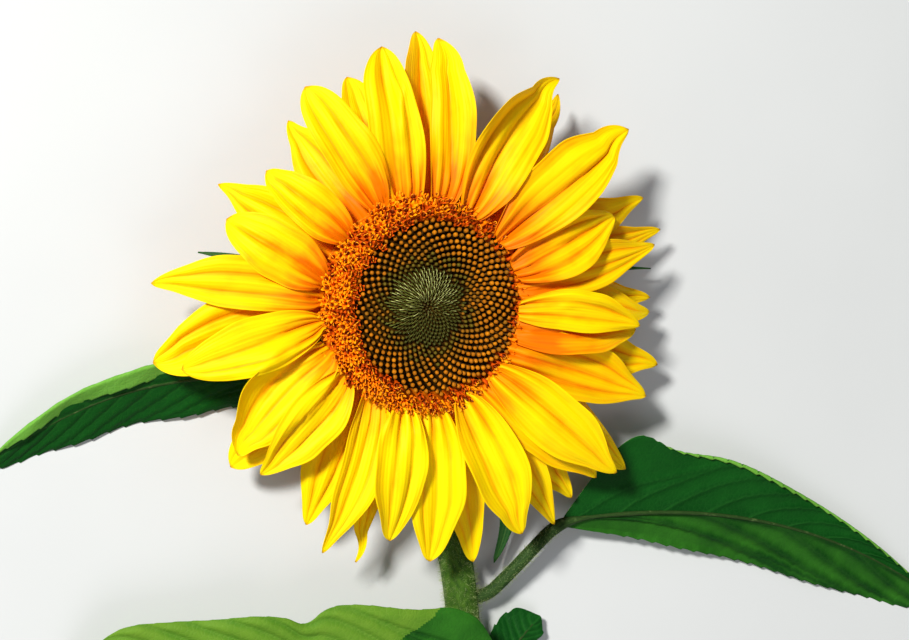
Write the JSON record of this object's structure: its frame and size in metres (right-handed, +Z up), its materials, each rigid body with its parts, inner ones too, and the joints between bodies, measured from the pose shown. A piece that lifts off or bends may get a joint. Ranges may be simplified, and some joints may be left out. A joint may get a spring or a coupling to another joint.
{
  "type": "cut sunflower",
  "caption": "Cut sunflower lying on its back: open yellow bloom with a domed brown disc, green bracts, a short hairy stem and toothed leaves.",
  "frame": {"origin": "middle of the flower's bounding box at the surface it lies on", "axes": "+Z up, the way the bloom faces; +X along the span of the leaves, to the right with the cut stem nearest; +Y from the cut end of the stem towards the bloom"},
  "size_m": [0.5092, 0.3412, 0.0618],
  "materials": {
    "petal_yellow": "satin",
    "disc_brown": "matte",
    "floret_orange": "matte",
    "bract_green": "matte",
    "leaf_green": "satin",
    "stem_green": "matte"
  },
  "bodies": {
    "root": {"back_petal_1": "petal_yellow", "back_petal_10": "petal_yellow", "back_petal_11": "petal_yellow", "back_petal_12": "petal_yellow", "back_petal_13": "petal_yellow", "back_petal_2": "petal_yellow", "back_petal_3": "petal_yellow", "back_petal_4": "petal_yellow", "back_petal_5": "petal_yellow", "back_petal_6": "petal_yellow", "back_petal_7": "petal_yellow", "back_petal_8": "petal_yellow", "back_petal_9": "petal_yellow", "bracts_inner": "bract_green", "bracts_outer": "bract_green", "disc_dome": "disc_brown", "floret_ring": "floret_orange", "front_leaf_blade": "leaf_green", "front_leaf_stalk": "stem_green", "front_petal_1": "petal_yellow", "front_petal_10": "petal_yellow", "front_petal_11": "petal_yellow", "front_petal_12": "petal_yellow", "front_petal_13": "petal_yellow", "front_petal_2": "petal_yellow", "front_petal_3": "petal_yellow", "front_petal_4": "petal_yellow", "front_petal_5": "petal_yellow", "front_petal_6": "petal_yellow", "front_petal_7": "petal_yellow", "front_petal_8": "petal_yellow", "front_petal_9": "petal_yellow", "left_leaf_blade": "leaf_green", "left_leaf_stalk": "stem_green", "neck": "stem_green", "receptacle": "bract_green", "right_leaf_blade": "leaf_green", "right_leaf_stalk": "stem_green", "second_petal_1": "petal_yellow", "second_petal_2": "petal_yellow", "second_petal_3": "petal_yellow", "second_petal_4": "petal_yellow", "second_petal_5": "petal_yellow", "second_petal_6": "petal_yellow", "second_petal_7": "petal_yellow", "second_petal_8": "petal_yellow", "small_leaf_blade": "leaf_green", "small_leaf_stalk": "stem_green", "stem": "stem_green", "third_petal_1": "petal_yellow", "third_petal_2": "petal_yellow", "third_petal_3": "petal_yellow", "third_petal_4": "petal_yellow", "third_petal_5": "petal_yellow", "third_petal_6": "petal_yellow"}
  },
  "joints": []
}
